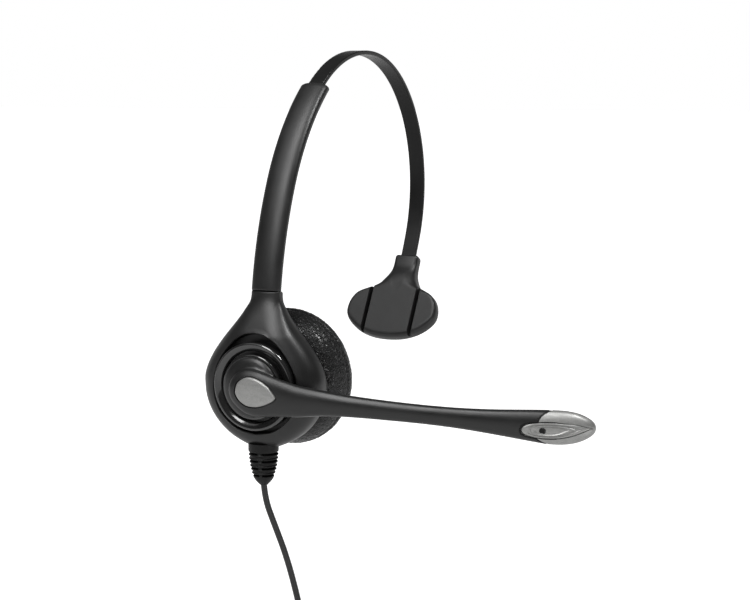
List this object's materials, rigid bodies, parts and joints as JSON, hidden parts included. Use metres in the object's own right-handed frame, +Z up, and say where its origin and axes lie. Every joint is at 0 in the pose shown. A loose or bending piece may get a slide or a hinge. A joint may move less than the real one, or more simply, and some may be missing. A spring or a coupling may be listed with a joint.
{
  "type": "office headset",
  "caption": "Corded one-ear office headset: cushioned ear capsule in a tilting yoke, sliding headband strip with a temple pad, and a turning boom microphone.",
  "frame": {"origin": "centre of the ear cushion's face, where it rests on the ear", "axes": "+X from the ear piece across the head towards the temple pad, the wearer faces -Y with the boom, +Z up along the headband"},
  "size_m": [0.1591, 0.1553, 0.3013],
  "materials": {
    "leatherette": "fine pebbled black leatherette, satin",
    "black_plastic": "fine-textured moulded black plastic, satin sheen",
    "boom_plastic": "soft satin black plastic",
    "strip_plastic": "smooth satin black spring plastic",
    "gloss_black": "polished black plastic",
    "silver": "satin silver paint with a fine metallic flake",
    "pad_rubber": "smooth black rubber, satin",
    "black_rubber": "black elastomer",
    "cord_jacket": "smooth black cable jacket",
    "tie_strap": "black hook-and-loop strap",
    "scrim": "black acoustic cloth",
    "foam": "black open foam",
    "steel": "plain steel",
    "magnet_steel": "nickel-plated magnet",
    "film": "amber polymer film",
    "wire": "insulated wire pair",
    "insulator": "off-white plastic",
    "brass": "gold-plated contacts"
  },
  "bodies": {
    "earpiece": {"ear_cushion": "leatherette", "cushion_ring": "black_plastic", "scrim_cloth": "scrim", "speaker_grille": "black_plastic", "grille_screws": "steel", "capsule_shell": "black_plastic", "speaker_frame": "steel", "speaker_magnet": "magnet_steel", "speaker_diaphragm": "film", "turret_ring": "gloss_black", "boom_spring_washer": "steel"},
    "boom": {"boom_hub": "gloss_black", "hub_clip": "steel", "boom_lead": "wire", "boom_arm": "boom_plastic", "boom_insert": "silver", "mic_tip_cap": "silver", "mic_port_insert": "silver", "mic_boot": "black_rubber", "mic_capsule": "steel", "mic_windscreen": "foam"},
    "yoke": {"strain_relief": "black_rubber", "pivot_pins": "steel", "sleeve_screws": "steel", "yoke_shell": "black_plastic", "yoke_back_cover": "black_plastic", "headband_sleeve": "black_plastic", "sleeve_liner": "black_plastic", "cord_lead": "cord_jacket", "cord_coil": "cord_jacket", "cord_tie": "tie_strap", "cord_tail": "cord_jacket", "plug_boot": "black_rubber", "plug_front_shell": "black_plastic", "plug_rear_shell": "black_plastic", "plug_insulator": "insulator", "plug_contacts": "brass"},
    "headband": {"headband_strip": "strip_plastic", "strip_stop": "black_plastic", "temple_pad_carrier": "black_plastic", "temple_pad_facing": "pad_rubber"}
  },
  "joints": [
    {"name": "boom_turn", "type": "hinge", "parent": "earpiece", "child": "boom", "pos_m": [-0.031, 0, 0], "axis": [1, 0, 0], "range_deg": [-200, 70]},
    {"name": "yoke_tilt", "type": "hinge", "parent": "earpiece", "child": "yoke", "pos_m": [-0.0235, 0, 0], "axis": [0, 1, 0], "range_deg": [-6, 6]},
    {"name": "headband_adjust", "type": "hinge", "parent": "yoke", "child": "headband", "pos_m": [0.07997, 0, 0.03307], "axis": [0, 1, 0], "range_deg": [0, 14]}
  ]
}
